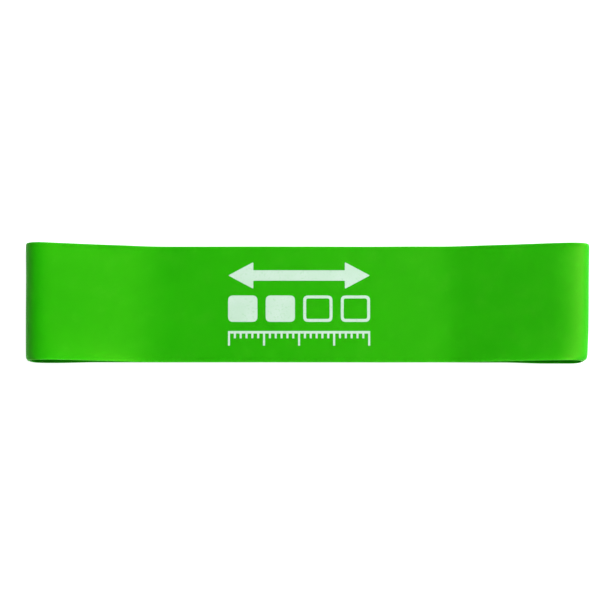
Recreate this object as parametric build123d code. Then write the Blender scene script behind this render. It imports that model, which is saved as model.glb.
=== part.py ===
from build123d import *

import os
from dataclasses import dataclass
from math import cos, pi, sin

# A flat latex loop resistance band. It lies on one of its broad faces, so the loop is two layers
# that nearly touch in the middle and part into a rounded fold at each end. The band's wall is one
# seamless strip of even thickness. Here it is divided, at plain upright cuts, into the stretches
# that behave differently when it is pulled: the two folds, which keep their shape, and the upper
# and lower runs between them, which stretch. Printed marks lie on the upper run.
#
# Millimetres and radians. The origin is the middle of the footprint, on the surface that the band
# lies on. +X runs along the band, +Y across it and +Z up.

# The band as it is made
BAND_WIDTH = 50.8
WALL = 0.7
CIRCUMFERENCE = 498.0  # once round the loop, in the middle of the wall

# How it lies
LAYER_GAP = 0.4  # air between the two layers where they lie together
STRAIGHT_UP_TO = 0.5  # the longest step along a curve, when it is worked out
TRIAL_LENGTH = 100.0  # of a fold, when its proportions are worked out


@dataclass
class LoopEnd:
    """How the upper run leaves the lower one and folds round at one end of the loop."""

    height: float  # the highest point of the fold's outside, over the surface
    rise: float  # the slope of the upper run before the fold
    landing: float  # length over which the upper run turns from level to that slope
    roundness: float  # 0 turns evenly along the fold, 1 eases into and out of the turn
    lean: float  # above 0 turns early in the fold, below 0 late


LEFT_END = LoopEnd(height=11.8, rise=0.22, landing=34.0, roundness=1.0, lean=0.0)
RIGHT_END = LoopEnd(height=10.3, rise=0.18, landing=22.0, roundness=0.8, lean=-0.5)

# The printed marks: a stretch arrow, a row of level blocks and a plain scale
INK = 0.05  # thickness of the ink
PRINT_X = -3.8  # the marks' middle, from the band's middle
PRINT_LENGTH = 62.0
ARROW_Y = 12.6
ARROW_HEIGHT = 11.8
ARROW_SHAFT = 4.6
ARROW_HEAD = 11.0
BLOCKS_Y = -2.0
BLOCK_SIZE = (12.8, 11.6)
BLOCK_RADIUS = 2.2
BLOCK_LINE = 1.3  # width of an empty block's outline
BLOCKS = 4
BLOCKS_FILLED = 2
SCALE_Y = -15.0
SCALE_LINE = 1.1
TICKS = 25
TICK_WIDTH = 0.9
TICK_SHORT = 3.2
TICK_LONG = 6.4
TICKS_PER_LONG = 6

LOWER_MIDDLE = WALL / 2  # height of the middle of the wall in the lower layer
UPPER_MIDDLE = LOWER_MIDDLE + WALL + LAYER_GAP
UPPER_TOP = UPPER_MIDDLE + WALL / 2


def turned(fraction, end):
    """The share of a fold's turn that is done at a fraction of its length."""
    leaning = fraction + end.lean * sin(pi * fraction) ** 2 / pi
    return leaning - end.roundness * sin(2 * pi * leaning) / (2 * pi)


def walk(x, z, length, heading):
    """Stations (x, z, heading) along a curve whose heading is a function of the fraction walked."""
    steps = 4 * (int(length / STRAIGHT_UP_TO / 4) + 1)
    stations = [(x, z, heading(0.0))]
    for step in range(steps):
        middle = heading((step + 0.5) / steps)
        x += cos(middle) * length / steps
        z += sin(middle) * length / steps
        stations.append((x, z, heading((step + 1) / steps)))
    return stations


class FoldedEnd:
    """The middle of the wall round one end, from where the upper run first lifts to where the
    fold meets the lower run. It is worked out with the tip towards +X and the start at x = 0."""

    def __init__(self, end):
        turn = pi + end.rise

        def landing_heading(fraction):
            return end.rise * (fraction - sin(2 * pi * fraction) / (2 * pi))

        def fold_heading(fraction):
            return end.rise - turn * turned(fraction, end)

        # The fold is walked once at a trial length. That gives its proportions, so its true length
        # follows from its height. The straight slope then makes up what height is left.
        trial = walk(0.0, 0.0, TRIAL_LENGTH, fold_heading)
        trial_top = max(z for _, z, _ in trial)
        trial_end = trial[-1][1]
        size = (end.height - WALL / 2 - LOWER_MIDDLE) / (trial_top - trial_end)
        fold_length = TRIAL_LENGTH * size
        self.landing = walk(0.0, UPPER_MIDDLE, end.landing, landing_heading)
        x, z, _ = self.landing[-1]
        slope = (LOWER_MIDDLE - z - trial_end * size) / sin(end.rise)
        self.fold = walk(x + slope * cos(end.rise), z + slope * sin(end.rise), fold_length, fold_heading)
        self.length = end.landing + slope + fold_length
        self.tip = max(x for x, _, _ in self.fold)
        self.foot = self.fold[-1][0]


def beside(stations, distance):
    """The stations' points moved sideways, outwards for a distance above 0."""
    return [(x - sin(turn) * distance, z + cos(turn) * distance) for x, z, turn in stations]


def tangents(stations):
    return [(cos(stations[i][2]), sin(stations[i][2])) for i in (0, -1)]


def fold_solid(folded, place):
    """The wall round one end, with upright cuts where it meets the upper and the lower run."""
    with BuildPart() as part:
        with BuildSketch(Plane.XZ):
            with BuildLine():
                outlines = []
                for side in (WALL / 2, -WALL / 2):
                    landing = beside(folded.landing, side)
                    fold = beside(folded.fold, side)
                    Spline(*landing, tangents=tangents(folded.landing))
                    Line(landing[-1], fold[0])
                    Spline(*fold, tangents=tangents(folded.fold))
                    outlines.append((landing[0], fold[-1]))
                Line(outlines[0][0], outlines[1][0])
                Line(outlines[0][1], outlines[1][1])
            make_face()
        extrude(amount=BAND_WIDTH / 2, both=True)
    return place * part.part


def run_solid(x_from, x_to, middle):
    """A level run of the wall."""
    place = Pos((x_from + x_to) / 2, 0, middle)
    return place * Box(x_to - x_from, BAND_WIDTH, WALL)


def inked(sketch, y):
    """A flat mark on the upper run's top face."""
    return extrude(Pos(PRINT_X, y, UPPER_TOP) * sketch, amount=INK)


def arrow_sketch():
    """A two-headed arrow, for the way that the band stretches."""
    tip = PRINT_LENGTH / 2
    neck = tip - ARROW_HEAD
    right_half = [
        (0, ARROW_SHAFT / 2),
        (neck, ARROW_SHAFT / 2),
        (neck, ARROW_HEIGHT / 2),
        (tip, 0),
        (neck, -ARROW_HEIGHT / 2),
        (neck, -ARROW_SHAFT / 2),
        (0, -ARROW_SHAFT / 2),
    ]
    half = make_face(Polyline(*right_half, close=True))
    return half + mirror(half, about=Plane.YZ)


def block_sketches():
    """A row of rounded blocks, filled up to the band's resistance level and empty past it."""
    width, height = BLOCK_SIZE
    pitch = (PRINT_LENGTH - width) / (BLOCKS - 1)
    row = []
    for index in range(BLOCKS):
        block = RectangleRounded(width, height, BLOCK_RADIUS)
        if index >= BLOCKS_FILLED:
            inner_width = width - 2 * BLOCK_LINE
            inner_height = height - 2 * BLOCK_LINE
            block -= RectangleRounded(inner_width, inner_height, BLOCK_RADIUS - BLOCK_LINE)
        row.append(Pos((index - (BLOCKS - 1) / 2) * pitch, 0) * block)
    return row


def scale_sketch():
    """A plain scale, whose marks spread as the band stretches."""
    line_y = TICK_LONG / 2 - SCALE_LINE / 2
    marks = Pos(0, line_y) * Rectangle(PRINT_LENGTH, SCALE_LINE)
    pitch = (PRINT_LENGTH - TICK_WIDTH) / (TICKS - 1)
    for index in range(TICKS):
        tick = TICK_SHORT if index % TICKS_PER_LONG else TICK_LONG
        x = (index - (TICKS - 1) / 2) * pitch
        marks += Pos(x, TICK_LONG / 2 - tick / 2) * Rectangle(TICK_WIDTH, tick)
    return marks


left = FoldedEnd(LEFT_END)
right = FoldedEnd(RIGHT_END)

# Both layers together with both ends go once round the circumference, which sets how far apart
# the tips are.
level_length = CIRCUMFERENCE - left.length - right.length
span = (level_length + left.tip + right.tip + (left.tip - left.foot) + (right.tip - right.foot)) / 2
upper_from = -span / 2 + left.tip
upper_to = span / 2 - right.tip
lower_from = -span / 2 + left.tip - left.foot
lower_to = span / 2 - right.tip + right.foot

nodes = {
    "left_bend": mirror(fold_solid(left, Pos(-upper_from, 0, 0)), about=Plane.YZ),
    "right_bend": fold_solid(right, Pos(upper_to, 0, 0)),
    "upper_run": run_solid(upper_from, upper_to, UPPER_MIDDLE),
    "lower_run": run_solid(lower_from, lower_to, LOWER_MIDDLE),
    "print_arrow": inked(arrow_sketch(), ARROW_Y),
    "print_level_blocks": Compound([inked(block, BLOCKS_Y) for block in block_sketches()]),
    "print_scale": inked(scale_sketch(), SCALE_Y),
}

os.makedirs("parts", exist_ok=True)
for name, solid in nodes.items():
    export_step(solid, f"parts/{name}.step")

print("length over the tips", round(span + WALL, 2))
for name, folded in (("left", left), ("right", right)):
    print(name, "wall length", round(folded.length, 2), "lift to tip", round(folded.tip + WALL / 2, 2))
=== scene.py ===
from dataclasses import dataclass
from math import cos, exp, pi, radians, sin

import bmesh
import bpy
import numpy as np
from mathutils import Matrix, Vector, noise


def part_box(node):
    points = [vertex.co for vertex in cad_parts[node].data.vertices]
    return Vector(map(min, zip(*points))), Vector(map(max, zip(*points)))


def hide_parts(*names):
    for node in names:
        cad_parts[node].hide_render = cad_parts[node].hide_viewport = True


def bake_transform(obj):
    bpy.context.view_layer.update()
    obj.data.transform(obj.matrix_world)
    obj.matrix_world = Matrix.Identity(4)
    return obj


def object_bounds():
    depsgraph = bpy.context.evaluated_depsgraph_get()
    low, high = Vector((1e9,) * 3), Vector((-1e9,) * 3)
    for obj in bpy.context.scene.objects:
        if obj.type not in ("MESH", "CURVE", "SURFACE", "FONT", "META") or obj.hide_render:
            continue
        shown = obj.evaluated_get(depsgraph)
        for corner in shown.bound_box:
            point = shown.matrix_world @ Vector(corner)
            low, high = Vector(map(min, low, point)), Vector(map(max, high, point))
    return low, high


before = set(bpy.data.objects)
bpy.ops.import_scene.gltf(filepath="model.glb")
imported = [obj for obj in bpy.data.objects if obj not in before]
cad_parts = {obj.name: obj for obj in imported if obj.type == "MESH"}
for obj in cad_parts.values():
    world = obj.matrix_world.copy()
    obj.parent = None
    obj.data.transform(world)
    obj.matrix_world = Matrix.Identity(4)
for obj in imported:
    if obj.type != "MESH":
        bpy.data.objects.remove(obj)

# The looks of a flat latex loop resistance band that lies on a table. The loop is one seamless,
# finely divided wall on the same curve as the CAD, with knife-cut edges, slight waves and powdered
# satin latex. The printed marks lie on it as thin ink. Metres, +Z up.

CAD_LOW, CAD_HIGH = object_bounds()
MM = 0.001

# The band, with the sizes that its CAD parts have
UPPER_LOW, UPPER_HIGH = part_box("upper_run")
LOWER_LOW, LOWER_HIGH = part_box("lower_run")
WIDTH = UPPER_HIGH.y - UPPER_LOW.y
WALL = UPPER_HIGH.z - UPPER_LOW.z
LOWER_MIDDLE = (LOWER_LOW.z + LOWER_HIGH.z) / 2
UPPER_MIDDLE = (UPPER_LOW.z + UPPER_HIGH.z) / 2


@dataclass
class LoopEnd:
    """How the upper run leaves the lower one and folds round at one end of the loop."""

    height: float  # the highest point of the fold's outside, over the surface
    rise: float  # the slope of the upper run before the fold
    landing: float  # length over which the upper run turns from level to that slope
    roundness: float  # 0 turns evenly along the fold, 1 eases into and out of the turn
    lean: float  # above 0 turns early in the fold, below 0 late


LEFT_END = LoopEnd(height=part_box("left_bend")[1].z, rise=0.22, landing=34 * MM, roundness=1.0, lean=0.0)
RIGHT_END = LoopEnd(height=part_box("right_bend")[1].z, rise=0.18, landing=22 * MM, roundness=0.8, lean=-0.5)

# How finely the wall is divided
STEP_ALONG = 0.8 * MM
STEP_ACROSS = 0.85 * MM
CURVE_STEPS = 400  # in each landing and each fold, when the curve is worked out
EDGE_ROUNDING = 0.1 * MM  # at the corners of the knife-cut edges
EDGE_ROUNDING_STEPS = 3
CUT_FACE_STEPS = 3

# What the knife and handling leave on a real band
CUT_WANDER = 0.12 * MM  # how far a cut edge strays from straight
CUT_WANDER_LENGTH = 30 * MM
WAVE_HEIGHT = 0.16 * MM  # low waves in the wall, at this height where it stands free
WAVE_LENGTH = 26 * MM
WAVE_ACROSS = 0.6  # how quickly the waves change across the band, against along it
WAVE_LEVEL = 0.5  # the share of their height that they keep where the upper layer lies level
RIPPLE_LENGTH = 0.35  # of finer ripples on the waves, as a share of the waves' length
RIPPLE_HEIGHT = 0.2  # and as a share of their height
FREE_HEIGHT = 3 * MM  # how high the wall stands where it counts as free
SPREAD_HEIGHT = 2 * FREE_HEIGHT  # how high the wall stands where it no longer bows out
LIFT_HEIGHT = 7 * MM  # how high the wall stands where its edges lift fully
LIFT_FROM_TIP = 16 * MM  # how far from the tips they lift fully, since the folds hold them down
TUCK_DEPTH = 16 * MM  # how far back from the tip a fold draws in

# How far in from a cut edge each of these has fallen to about a third
LIFT_REACH = 5 * MM
CURL_REACH = 1.0 * MM
TUCK_NARROW_REACH = 0.6 * MM
TUCK_BROAD_REACH = 12 * MM
RUBBED_REACH = 0.8 * MM  # the paler latex along the edge

# Where in the noise each pattern is taken
WAVE_PLACE = Vector((3.1, 0.7, 5.3))
RIPPLE_PLACE = Vector((7.7, 2.9, 1.1))
WANDER_PLACE = 9.2
EDGES_APART = 0.4  # metres from the middle, so that the two cut edges stray differently


@dataclass
class Spread:
    """How far the lower layer's near edge bows out under an open end."""

    amount: float
    full: float  # how far from the tip it bows out fully
    none: float  # how far from the tip it no longer does


SPREAD_LEFT = Spread(amount=0.32 * MM, full=12 * MM, none=30 * MM)
SPREAD_RIGHT = Spread(amount=0.5 * MM, full=18 * MM, none=38 * MM)


@dataclass
class Corner:
    """How the raised wall strays from its even curve towards one of its cut edges."""

    lift: float  # how far the edge rises. Below 0 it droops
    curl: float  # how far the very edge curls up past that
    narrow: float  # how far the fold's tip draws in at the very edge
    broad: float  # how far it draws in over a broader zone. Below 0 it stands out there


LEFT_NEAR = Corner(lift=1.9 * MM, curl=0.3 * MM, narrow=0.9 * MM, broad=0.3 * MM)
LEFT_FAR = Corner(lift=-0.8 * MM, curl=0.5 * MM, narrow=0.3 * MM, broad=-0.5 * MM)
RIGHT_NEAR = Corner(lift=1.0 * MM, curl=0.3 * MM, narrow=1.8 * MM, broad=1.1 * MM)
RIGHT_FAR = Corner(lift=-0.8 * MM, curl=0.5 * MM, narrow=0.4 * MM, broad=-0.7 * MM)

# The printed marks, with the shapes that the CAD gives them
INK_RAISED = 0.035 * MM  # how far the ink stands above the band
INK_SUNK = 0.03 * MM  # how far it goes into the band, so that no gap shows under it
INK_GRID = 1.6 * MM  # spacing of the cuts that divide it
INK_JOIN = 0.035 * MM  # points nearer than this in the scale's drawing are one
INK_SHARP = radians(40)  # a steeper turn between two faces shows as an edge
INK_SNAP = 0.02 * MM  # points this near to a cut count as on it, so that no slivers are left
INK_CORNER = 0.35 * MM  # rounding of the arrow's corners
CORNER_STEPS = 5
ARROW_SHAFT = 4.6 * MM
ARROW_HEAD = 11 * MM
BLOCKS = 4
BLOCKS_FILLED = 2
BLOCK_WIDTH = 12.8 * MM
BLOCK_RADIUS = 2.2 * MM
BLOCK_LINE = 1.3 * MM
SCALE_LINE = 1.1 * MM
TICKS = 25
TICK_WIDTH = 0.9 * MM
TICK_SHORT = 3.2 * MM
TICKS_PER_LONG = 6


# ---- The loop's curve ----


def turned(fraction, end):
    """The share of a fold's turn that is done at a fraction of its length."""
    leaning = fraction + end.lean * sin(pi * fraction) ** 2 / pi
    return leaning - end.roundness * sin(2 * pi * leaning) / (2 * pi)


def walk(x, z, length, heading):
    """Stations (x, z, heading) along a curve whose heading is a function of the fraction walked."""
    stations = [(x, z, heading(0.0))]
    for step in range(CURVE_STEPS):
        middle = heading((step + 0.5) / CURVE_STEPS)
        x += cos(middle) * length / CURVE_STEPS
        z += sin(middle) * length / CURVE_STEPS
        stations.append((x, z, heading((step + 1) / CURVE_STEPS)))
    return np.array(stations)


def folded_end(end):
    """The middle of the wall round one end, with its tip towards +X and its start at x = 0."""
    turn = pi + end.rise

    def landing_heading(fraction):
        return end.rise * (fraction - sin(2 * pi * fraction) / (2 * pi))

    def fold_heading(fraction):
        return end.rise - turn * turned(fraction, end)

    # A fold of unit length gives the proportions, so the true length follows from the height.
    unit = walk(0.0, 0.0, 1.0, fold_heading)
    unit_end = unit[-1, 1]
    fold_length = (end.height - WALL / 2 - LOWER_MIDDLE) / (unit[:, 1].max() - unit_end)
    landing = walk(0.0, UPPER_MIDDLE, end.landing, landing_heading)
    x, z, _ = landing[-1]
    slope = (LOWER_MIDDLE - z - unit_end * fold_length) / sin(end.rise)
    fold = walk(x + slope * cos(end.rise), z + slope * sin(end.rise), fold_length, fold_heading)
    return np.vstack([landing, fold])


def loop_stations():
    """The whole loop as evenly spaced stations (x, z, heading), clockwise as seen from -Y, from
    where the upper run starts to lift towards the right end."""
    right = folded_end(RIGHT_END)
    right[:, 0] += CAD_HIGH.x - WALL / 2 - right[:, 0].max()
    left = folded_end(LEFT_END)[::-1] * (-1, 1, -1)
    left[:, 0] += CAD_LOW.x + WALL / 2 - left[:, 0].min()
    full_turn = np.array((0, 0, 2 * pi))
    around = np.vstack([right, left - full_turn, right[:1] - full_turn])
    walked = np.concatenate([[0], np.cumsum(np.hypot(np.diff(around[:, 0]), np.diff(around[:, 1])))])
    count = round(walked[-1] / STEP_ALONG)
    places = np.arange(count) * walked[-1] / count
    return np.column_stack([np.interp(places, walked, around[:, i]) for i in range(3)])


# ---- The wall's natural unevenness ----


def eased(value, low, high):
    """0 below low, 1 above high, smooth between."""
    share = min(max((value - low) / (high - low), 0.0), 1.0)
    return share * share * (3 - 2 * share)


def tip_distance(x):
    """How far x is from the nearer tip."""
    return min(x - CAD_LOW.x, CAD_HIGH.x - x)


def towards_edges(y, reach, near=1.0, far=1.0):
    """near at the near edge and far at the far one, falling away over reach from each."""
    return near * exp(-(WIDTH / 2 + y) / reach) + far * exp(-(WIDTH / 2 - y) / reach)


def wave(x, y, z):
    """How far the wall stands off its even curve. The lower run lies flat, so it has none."""
    raised = eased(z, LOWER_MIDDLE, UPPER_MIDDLE)
    free = eased(z, UPPER_MIDDLE, UPPER_MIDDLE + FREE_HEIGHT)
    broad = noise.noise(Vector((x, y * WAVE_ACROSS, z)) / WAVE_LENGTH + WAVE_PLACE)
    ripple = noise.noise(Vector((x, y, z)) / (WAVE_LENGTH * RIPPLE_LENGTH) + RIPPLE_PLACE)
    share = WAVE_LEVEL + (1 - WAVE_LEVEL) * free
    return WAVE_HEIGHT * (broad + RIPPLE_HEIGHT * ripple) * raised * share


def cut_wander(x, z, side):
    """How far the cut edge strays outwards. side is -1 for the near edge and 1 for the far one."""
    place = Vector((x, side * EDGES_APART, z)) / CUT_WANDER_LENGTH + Vector((0, side, WANDER_PLACE))
    return CUT_WANDER * noise.noise(place)


def spread(x, y, z):
    """How far the lower layer's near side has spread outwards under an open end."""
    end = SPREAD_LEFT if x < 0 else SPREAD_RIGHT
    open_end = 1 - eased(tip_distance(x), end.full, end.none)
    below = 1 - eased(z, UPPER_MIDDLE, SPREAD_HEIGHT)
    return end.amount * open_end * below * eased(-y, 0, WIDTH / 2)


def corners_at(x):
    """The near and the far corner of the end that x is towards."""
    return (LEFT_NEAR, LEFT_FAR) if x < 0 else (RIGHT_NEAR, RIGHT_FAR)


def rise(x, y, z):
    """How far the raised wall's edge zones stand above the even curve."""
    near, far = corners_at(x)
    free = eased(z, UPPER_MIDDLE, UPPER_MIDDLE + FREE_HEIGHT)
    clear = eased(z, UPPER_MIDDLE, UPPER_MIDDLE + LIFT_HEIGHT) * eased(tip_distance(x), 0, LIFT_FROM_TIP)
    lift = towards_edges(y, LIFT_REACH, near.lift, far.lift)
    curl = towards_edges(y, CURL_REACH, near.curl, far.curl)
    return lift * clear + curl * free


def tuck(x, y):
    """How far the wall draws in along X near a fold's corners, towards the band's middle."""
    near, far = corners_at(x)
    narrow = towards_edges(y, TUCK_NARROW_REACH, near.narrow, far.narrow)
    broad = towards_edges(y, TUCK_BROAD_REACH, near.broad, far.broad)
    return (narrow + broad) * (1 - eased(tip_distance(x), 0, TUCK_DEPTH))


def wall_point(station, y, offset):
    """A point of the wall, offset outwards from its middle."""
    x, z, heading = station
    outward_x, outward_z = -sin(heading), cos(heading)
    out = offset + wave(x, y, z)
    side = 1 if y > 0 else -1
    wander = cut_wander(x, z, side) * abs(y) / (WIDTH / 2)
    drawn = tuck(x, y) if x < 0 else -tuck(x, y)
    up = rise(x, y, z) * max(outward_z, 0.0)
    return x + outward_x * out + drawn, y + side * wander - spread(x, y, z), z + outward_z * out + up


# ---- Meshes ----


def new_object(name, mesh):
    obj = bpy.data.objects.new(name, mesh)
    bpy.context.scene.collection.objects.link(obj)
    return obj


def wall_section():
    """The wall's cut section as points (y, offset) in order round it."""
    flat = WIDTH / 2 - EDGE_ROUNDING
    across = np.linspace(-flat, flat, round(2 * flat / STEP_ACROSS) + 1)
    core = WALL / 2 - EDGE_ROUNDING
    points = [(y, WALL / 2) for y in across]
    for side, start in ((1, pi / 2), (-1, -pi / 2)):
        corners = []
        for corner, offset in ((0, side * core), (1, -side * core)):
            for step in range(EDGE_ROUNDING_STEPS + 1):
                angle = start - (corner + step / EDGE_ROUNDING_STEPS) * pi / 2
                edge_y = side * flat + EDGE_ROUNDING * cos(angle)
                corners.append((edge_y, offset + EDGE_ROUNDING * sin(angle)))
        middle = EDGE_ROUNDING_STEPS + 1
        cut = np.linspace(corners[middle - 1], corners[middle], CUT_FACE_STEPS + 1)[1:-1]
        corners[middle:middle] = [tuple(point) for point in cut]
        points += corners[1:-1]
        if side == 1:
            points += [(y, -WALL / 2) for y in across[::-1]]
    return points


def build_band():
    """The seamless loop: its section carried round the whole curve and joined to its start."""
    stations = loop_stations()
    section = wall_section()
    rows = len(stations)
    columns = len(section)
    points = [wall_point(station, y, offset) for station in stations for y, offset in section]
    faces = []
    for row in range(rows):
        ahead = (row + 1) % rows
        for column in range(columns):
            beside = (column + 1) % columns
            corners = ((row, column), (row, beside), (ahead, beside), (ahead, column))
            faces.append([r * columns + c for r, c in corners])
    mesh = bpy.data.meshes.new("band")
    mesh.from_pydata(points, [], faces)
    edge = mesh.attributes.new("cut_edge", "FLOAT", "POINT")
    edge.data.foreach_set("value", [towards_edges(y, RUBBED_REACH) for _ in stations for y, _ in section])
    face_out = bmesh.new()
    face_out.from_mesh(mesh)
    bmesh.ops.recalc_face_normals(face_out, faces=face_out.faces)
    face_out.to_mesh(mesh)
    face_out.free()
    return finished(new_object("latex_band", mesh))


def finished(obj):
    """Smooth shading, and each point's place at rest, which the material's pattern sticks to."""
    mesh = obj.data
    mesh.shade_smooth()
    places = np.empty(len(mesh.vertices) * 3, np.float32)
    mesh.vertices.foreach_get("co", places)
    mesh.attributes.new("rest_place", "FLOAT_VECTOR", "POINT").data.foreach_set("vector", places)
    return obj


def rounded(points, radius):
    """A closed outline with each of its corners rounded."""
    outline = []
    corners = [Vector(point) for point in points]
    for index, corner in enumerate(corners):
        before = (corners[index - 1] - corner).normalized()
        after = (corners[(index + 1) % len(corners)] - corner).normalized()
        half = before.angle(after) / 2
        back = radius / np.tan(half)
        for step in range(CORNER_STEPS + 1):
            share = step / CORNER_STEPS
            start = corner + before * back * (1 - share)
            outline.append(start.lerp(corner + after * back * share, share))
    return outline


def rectangle(x, y, width, height):
    """The corners of a rectangle about a middle."""
    half_width = width / 2
    half_height = height / 2
    signs = ((-1, -1), (1, -1), (1, 1), (-1, 1))
    return [(x + across * half_width, y + up * half_height) for across, up in signs]


def fill(bm, outline):
    """The flat face inside an outline."""
    bm.faces.new([bm.verts.new((x, y, 0)) for x, y in outline]).normal_update()


def ring(bm, outer, inner):
    """The flat band between two outlines with the same number of points."""
    outside = [bm.verts.new((x, y, 0)) for x, y in outer]
    inside = [bm.verts.new((x, y, 0)) for x, y in inner]
    for i in range(len(outside)):
        bm.faces.new((outside[i - 1], outside[i], inside[i], inside[i - 1]))


def ink(name, node, draw):
    """A printed mark: a flat drawing, divided finely, given its thickness and laid on the band."""
    low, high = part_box(node)
    bm = bmesh.new()
    draw(bm, (low + high) / 2, high - low)
    bmesh.ops.triangulate(bm, faces=bm.faces[:])
    for axis, start, end in ((0, low.x, high.x), (1, low.y, high.y)):
        for place in np.arange(start + INK_GRID, end, INK_GRID):
            cut = Vector((0, 0, 0))
            cut[axis] = place
            normal = Vector((0, 0, 0))
            normal[axis] = 1
            everything = bm.verts[:] + bm.edges[:] + bm.faces[:]
            bmesh.ops.bisect_plane(bm, geom=everything, dist=INK_SNAP, plane_co=cut, plane_no=normal)
    raised = bmesh.ops.extrude_face_region(bm, geom=bm.faces[:])["geom"]
    for vert in raised:
        if isinstance(vert, bmesh.types.BMVert):
            vert.co.z = INK_RAISED + INK_SUNK
    bmesh.ops.recalc_face_normals(bm, faces=bm.faces)
    surface = UPPER_MIDDLE + WALL / 2
    for vert in bm.verts:
        vert.co.z += surface - INK_SUNK + wave(vert.co.x, vert.co.y, UPPER_MIDDLE)
    mesh = bpy.data.meshes.new(name)
    bm.to_mesh(mesh)
    bm.free()
    obj = finished(new_object(name, mesh))
    mesh.set_sharp_from_angle(angle=INK_SHARP)
    return obj


def draw_arrow(bm, centre, size):
    """The two-headed stretch arrow."""
    tip = size.x / 2
    neck = tip - ARROW_HEAD
    right = [
        (neck, -ARROW_SHAFT / 2),
        (neck, -size.y / 2),
        (tip, 0),
        (neck, size.y / 2),
        (neck, ARROW_SHAFT / 2),
    ]
    left = [(-x, -y) for x, y in right]
    outline = [(centre.x + x, centre.y + y) for x, y in right + left]
    fill(bm, rounded(outline, INK_CORNER))


def draw_blocks(bm, centre, size):
    """The row of resistance level blocks."""
    pitch = (size.x - BLOCK_WIDTH) / (BLOCKS - 1)
    for index in range(BLOCKS):
        x = centre.x + (index - (BLOCKS - 1) / 2) * pitch
        outer = rounded(rectangle(x, centre.y, BLOCK_WIDTH, size.y), BLOCK_RADIUS)
        if index < BLOCKS_FILLED:
            fill(bm, outer)
        else:
            hole = rectangle(x, centre.y, BLOCK_WIDTH - 2 * BLOCK_LINE, size.y - 2 * BLOCK_LINE)
            ring(bm, outer, rounded(hole, BLOCK_RADIUS - BLOCK_LINE))


def draw_scale(bm, centre, size):
    """The plain scale: a line cut at each side of each tick, and the ticks below it."""
    top = centre.y + size.y / 2
    pitch = (size.x - TICK_WIDTH) / (TICKS - 1)
    line_y = top - SCALE_LINE / 2
    for index in range(TICKS):
        x = centre.x + (index - (TICKS - 1) / 2) * pitch
        tick = (TICK_SHORT if index % TICKS_PER_LONG else size.y) - SCALE_LINE
        fill(bm, rectangle(x, line_y, TICK_WIDTH, SCALE_LINE))
        fill(bm, rectangle(x, top - SCALE_LINE - tick / 2, TICK_WIDTH, tick))
        if index < TICKS - 1:
            fill(bm, rectangle(x + pitch / 2, line_y, pitch - TICK_WIDTH, SCALE_LINE))
    bmesh.ops.remove_doubles(bm, verts=bm.verts[:], dist=INK_JOIN)


# ---- Materials ----

LATEX_GREEN = (0.0100, 0.405, 0.0010)
LATEX_DEEP = (0.0075, 0.386, 0.0008)
LATEX_PALE = (0.060, 0.530, 0.016)
LATEX_CLOUDS = 22 * MM  # sizes of what varies in the latex, and depths of its relief
LATEX_PATCHES = 9 * MM
LATEX_POWDER = 0.28 * MM
LATEX_GRAIN = 0.45 * MM
LATEX_GRAIN_DEPTH = 0.012 * MM
FLOW_WIDTH = 1.1 * MM
FLOW_ALONG = 14  # how many times as long as they are wide the flow lines are
FLOW_DEPTH = 0.02 * MM
LIGHT_REACH = 1.5 * MM  # how far light passes through the latex
INK_PALE = (0.54, 0.71, 0.59)
INK_THIN = (0.34, 0.62, 0.37)
INK_CLOUDS = 7 * MM
INK_THIN_SPOTS = 0.9 * MM
INK_SHEEN = 0.3 * MM
INK_GRAIN = 0.25 * MM
INK_GRAIN_DEPTH = 0.008 * MM
WHITE = (1, 1, 1, 1)
SEED_STEPS = (1.0, 0.7, 1.3)  # how far a seed moves a pattern along each axis


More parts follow.
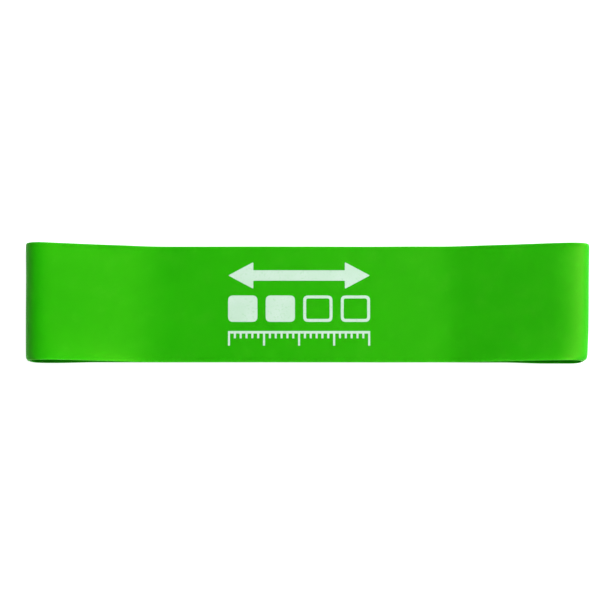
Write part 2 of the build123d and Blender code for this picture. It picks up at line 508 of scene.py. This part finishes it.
class Nodes:
    """A material's node tree, with short ways to add and join its nodes."""

    def __init__(self, name):
        self.material = bpy.data.materials.new(name)
        self.material.use_nodes = True
        self.tree = self.material.node_tree
        self.tree.nodes.clear()
        self.shader = self.add("ShaderNodeBsdfPrincipled")
        output = self.add("ShaderNodeOutputMaterial")
        self.join(self.shader.outputs["BSDF"], output.inputs["Surface"])
        self.place = self.attribute("rest_place", "Vector")

    def add(self, kind, **settings):
        node = self.tree.nodes.new(kind)
        for key, value in settings.items():
            setattr(node, key, value)
        return node

    def join(self, output, socket):
        self.tree.links.new(output, socket)

    def attribute(self, name, output):
        return self.add("ShaderNodeAttribute", attribute_name=name).outputs[output]

    def noise(self, size, detail=2.0, along=1.0, seed=0.0):
        """Noise whose features are about size metres across, and along times as long in X and Z."""
        mapping = self.add("ShaderNodeMapping")
        mapping.inputs["Scale"].default_value = (1 / along, 1, 1 / along)
        mapping.inputs["Location"].default_value = [seed * step for step in SEED_STEPS]
        self.join(self.place, mapping.inputs["Vector"])
        texture = self.add("ShaderNodeTexNoise")
        texture.inputs["Scale"].default_value = 1 / size
        texture.inputs["Detail"].default_value = detail
        self.join(mapping.outputs["Vector"], texture.inputs["Vector"])
        return texture.outputs["Fac"]

    def ranged(self, value, low, high, new_low, new_high):
        """value carried from low..high to new_low..new_high, and held at the ends."""
        node = self.add("ShaderNodeMapRange")
        limits = (("From Min", low), ("From Max", high), ("To Min", new_low), ("To Max", new_high))
        for name, limit in limits:
            node.inputs[name].default_value = limit
        self.join(value, node.inputs["Value"])
        return node.outputs["Result"]

    def maths(self, operation, a, b):
        node = self.add("ShaderNodeMath", operation=operation)
        for socket, value in zip(node.inputs, (a, b)):
            if isinstance(value, (int, float)):
                socket.default_value = value
            else:
                self.join(value, socket)
        return node.outputs[0]

    def mixed(self, share, first, second):
        """A colour between two colours or colour outputs."""
        node = self.add("ShaderNodeMix", data_type="RGBA")
        self.join(share, node.inputs["Factor"])
        for socket, colour in ((node.inputs[6], first), (node.inputs[7], second)):
            if isinstance(colour, tuple):
                socket.default_value = (*colour, 1)
            else:
                self.join(colour, socket)
        return node.outputs[2]

    def bump(self, height, distance, normal=None):
        node = self.add("ShaderNodeBump")
        node.inputs["Strength"].default_value = 1.0
        node.inputs["Distance"].default_value = distance
        self.join(height, node.inputs["Height"])
        if normal:
            self.join(normal, node.inputs["Normal"])
        return node.outputs["Normal"]

    def set(self, **values):
        for name, value in values.items():
            self.shader.inputs[name.replace("_", " ")].default_value = value


def latex_material():
    """Satin natural latex: dipped skin with faint flow lines, a trace of powder, paler cut edges."""
    m = Nodes("green_latex")
    clouds = m.ranged(m.noise(LATEX_CLOUDS, detail=3), 0.35, 0.65, 0, 1)
    flow = m.noise(FLOW_WIDTH, detail=2, along=FLOW_ALONG, seed=2)
    powder = m.noise(LATEX_POWDER, detail=4, seed=5)
    patches = m.noise(LATEX_PATCHES, detail=2, seed=8)
    edge = m.attribute("cut_edge", "Fac")
    specks = m.ranged(m.maths("MULTIPLY", powder, patches), 0.27, 0.42, 0, 0.16)
    rubbed = m.ranged(m.maths("MULTIPLY", edge, powder), 0.15, 0.55, 0, 0.5)
    colour = m.mixed(clouds, LATEX_DEEP, LATEX_GREEN)
    colour = m.mixed(specks, colour, LATEX_PALE)
    colour = m.mixed(rubbed, colour, LATEX_PALE)
    m.join(colour, m.shader.inputs["Base Color"])
    rough = m.ranged(m.maths("ADD", powder, patches), 0.6, 1.4, 0.5, 0.6)
    m.join(rough, m.shader.inputs["Roughness"])
    skin = m.bump(m.noise(LATEX_GRAIN, detail=3, seed=11), LATEX_GRAIN_DEPTH)
    lines = m.bump(flow, FLOW_DEPTH, skin)
    m.join(lines, m.shader.inputs["Normal"])
    m.set(Subsurface_Weight=0.6, Subsurface_Scale=LIGHT_REACH, Subsurface_Radius=(0.25, 1.0, 0.12))
    m.set(IOR=1.5, Specular_IOR_Level=0.25, Specular_Tint=(1.0, 1.0, 0.12, 1.0))
    return m.material


def ink_material():
    """Thin pad-printed ink: matt, pale, and a little thinner here and there."""
    m = Nodes("pale_print_ink")
    thin = m.ranged(m.noise(INK_THIN_SPOTS, detail=4, seed=3), 0.52, 0.75, 0, 0.75)
    clouds = m.ranged(m.noise(INK_CLOUDS, detail=2, seed=6), 0.3, 0.7, 0, 0.25)
    colour = m.mixed(m.maths("MAXIMUM", thin, clouds), INK_PALE, INK_THIN)
    m.join(colour, m.shader.inputs["Base Color"])
    rough = m.ranged(m.noise(INK_SHEEN, detail=2, seed=9), 0.3, 0.7, 0.5, 0.66)
    m.join(rough, m.shader.inputs["Roughness"])
    grain = m.bump(m.noise(INK_GRAIN, detail=3, seed=12), INK_GRAIN_DEPTH)
    m.join(grain, m.shader.inputs["Normal"])
    m.set(IOR=1.45)
    return m.material


def floor_material():
    """Plain white, and glowing near the middle, so that hardly any shadow shows on it."""
    m = Nodes("white_floor")
    lit = m.attribute("lit", "Fac")
    m.join(m.mixed(lit, (WALL_WHITE,) * 3, (FLOOR_WHITE,) * 3), m.shader.inputs["Base Color"])
    m.join(m.maths("MULTIPLY", lit, FLOOR_GLOW), m.shader.inputs["Emission Strength"])
    m.set(Roughness=0.9, IOR=1.2, Emission_Color=WHITE)
    return m.material


# ---- The stage ----

# Metres and watts
CAMERA_OVER = 0.47  # above the surface
CAMERA_NEARER = 0.0687  # towards the viewer from the band's middle
CAMERA_ASIDE = -0.0034
CAMERA_TILT = radians(3)
CAMERA_LENS = 64.74  # millimetres
CAMERA_SHIFT = 0.1752  # of the picture's width
CAMERA_CLIP = 0.01
KEY_ANGLE = radians(52)  # down from overhead, towards the band's right end
KEY_TURN = radians(28)  # from there round towards the far side
KEY_DISTANCE = 2.4
KEY_SIZE = 1.5
KEY_POWER = 99
TOP_PLACE = (0, 0.3, 2.2)
TOP_SIZE = 1.6
TOP_POWER = 0.8
SURROUND = 0.12  # strength of the even light from all round
FLOOR_GLOW = 0.96
FLOOR_WHITE = 0.35  # under the band, where the glow makes up the rest
WALL_WHITE = 0.85
LIT_REACH = 0.8  # how far from the band's middle the floor glows fully
COVE_FLOOR = 2.4  # radius of the level floor, which bends up past it
COVE_BEND = 0.9
COVE_HEIGHT = 2.0
COVE_JOIN = 1 * MM
COVE_GAP = 0.05 * MM  # keeps the floor clear of the band's underside
COVE_STEPS = 12
COVE_SIDES = 96


def softbox(name, position, size, power):
    """A round soft light that faces the band's middle."""
    light = bpy.data.lights.new(name, "AREA")
    light.shape = "DISK"
    light.size = size
    light.energy = power
    obj = bpy.data.objects.new(name, light)
    obj.location = position
    obj.rotation_euler = (-Vector(position)).to_track_quat("-Z", "Y").to_euler()
    bpy.context.scene.collection.objects.link(obj)


def build_cove():
    """A round white studio floor that curves up into a wall, so that no edge of it shows."""
    profile = [(COVE_FLOOR * step / COVE_STEPS, 0.0) for step in range(COVE_STEPS + 1)]
    for step in range(1, COVE_STEPS + 1):
        angle = step / COVE_STEPS * pi / 2
        profile.append((COVE_FLOOR + COVE_BEND * sin(angle), COVE_BEND * (1 - cos(angle))))
    profile.append((COVE_FLOOR + COVE_BEND, COVE_HEIGHT))
    bm = bmesh.new()
    chain = [bm.verts.new((radius, 0, height + CAD_LOW.z - COVE_GAP)) for radius, height in profile]
    edges = [bm.edges.new(pair) for pair in zip(chain, chain[1:])]
    spin = {"cent": (0, 0, 0), "axis": (0, 0, 1), "angle": 2 * pi, "steps": COVE_SIDES}
    bmesh.ops.spin(bm, geom=chain + edges, use_merge=True, **spin)
    bmesh.ops.remove_doubles(bm, verts=bm.verts[:], dist=COVE_JOIN)
    mesh = bpy.data.meshes.new("studio_cove")
    bm.to_mesh(mesh)
    bm.free()
    mesh.shade_smooth()
    lit = [1 - eased(vert.co.xy.length, LIT_REACH, COVE_FLOOR) for vert in mesh.vertices]
    mesh.attributes.new("lit", "FLOAT", "POINT").data.foreach_set("value", lit)
    cove = new_object("studio_cove", mesh)
    cove.data.materials.append(floor_material())


def build_lights():
    """A soft key light from the right, softer light from overhead and an even surround."""
    key = Vector((sin(KEY_ANGLE) * cos(KEY_TURN), sin(KEY_ANGLE) * sin(KEY_TURN), cos(KEY_ANGLE)))
    softbox("key_light", key * KEY_DISTANCE, KEY_SIZE, KEY_POWER)
    softbox("top_light", TOP_PLACE, TOP_SIZE, TOP_POWER)
    scene = bpy.context.scene
    scene.world = bpy.data.worlds.new("studio")
    scene.world.use_nodes = True
    surround = scene.world.node_tree.nodes["Background"]
    surround.inputs["Color"].default_value = WHITE
    surround.inputs["Strength"].default_value = SURROUND
    scene.view_settings.view_transform = "Standard"


def build_camera():
    """A camera almost straight above the band, tilted a little to see its near edge."""
    data = bpy.data.cameras.new("camera")
    data.lens = CAMERA_LENS
    data.shift_y = CAMERA_SHIFT
    data.clip_start = CAMERA_CLIP
    camera = bpy.data.objects.new("camera", data)
    camera.location = (CAMERA_ASIDE, -CAMERA_NEARER, CAMERA_OVER)
    camera.rotation_euler = (CAMERA_TILT, 0, 0)
    bpy.context.scene.collection.objects.link(camera)
    bpy.context.scene.camera = camera


# ---- The object ----

build_camera()
build_cove()
build_lights()

band = build_band()
band.data.materials.append(latex_material())
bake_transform(band)
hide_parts("left_bend", "right_bend", "upper_run", "lower_run")

print_ink = ink_material()
MARKS = (
    ("ink_arrow", "print_arrow", draw_arrow),
    ("ink_level_blocks", "print_level_blocks", draw_blocks),
    ("ink_scale", "print_scale", draw_scale),
)
for name, node, draw in MARKS:
    mark = ink(name, node, draw)
    mark.data.materials.append(print_ink)
    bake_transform(mark)
    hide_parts(node)
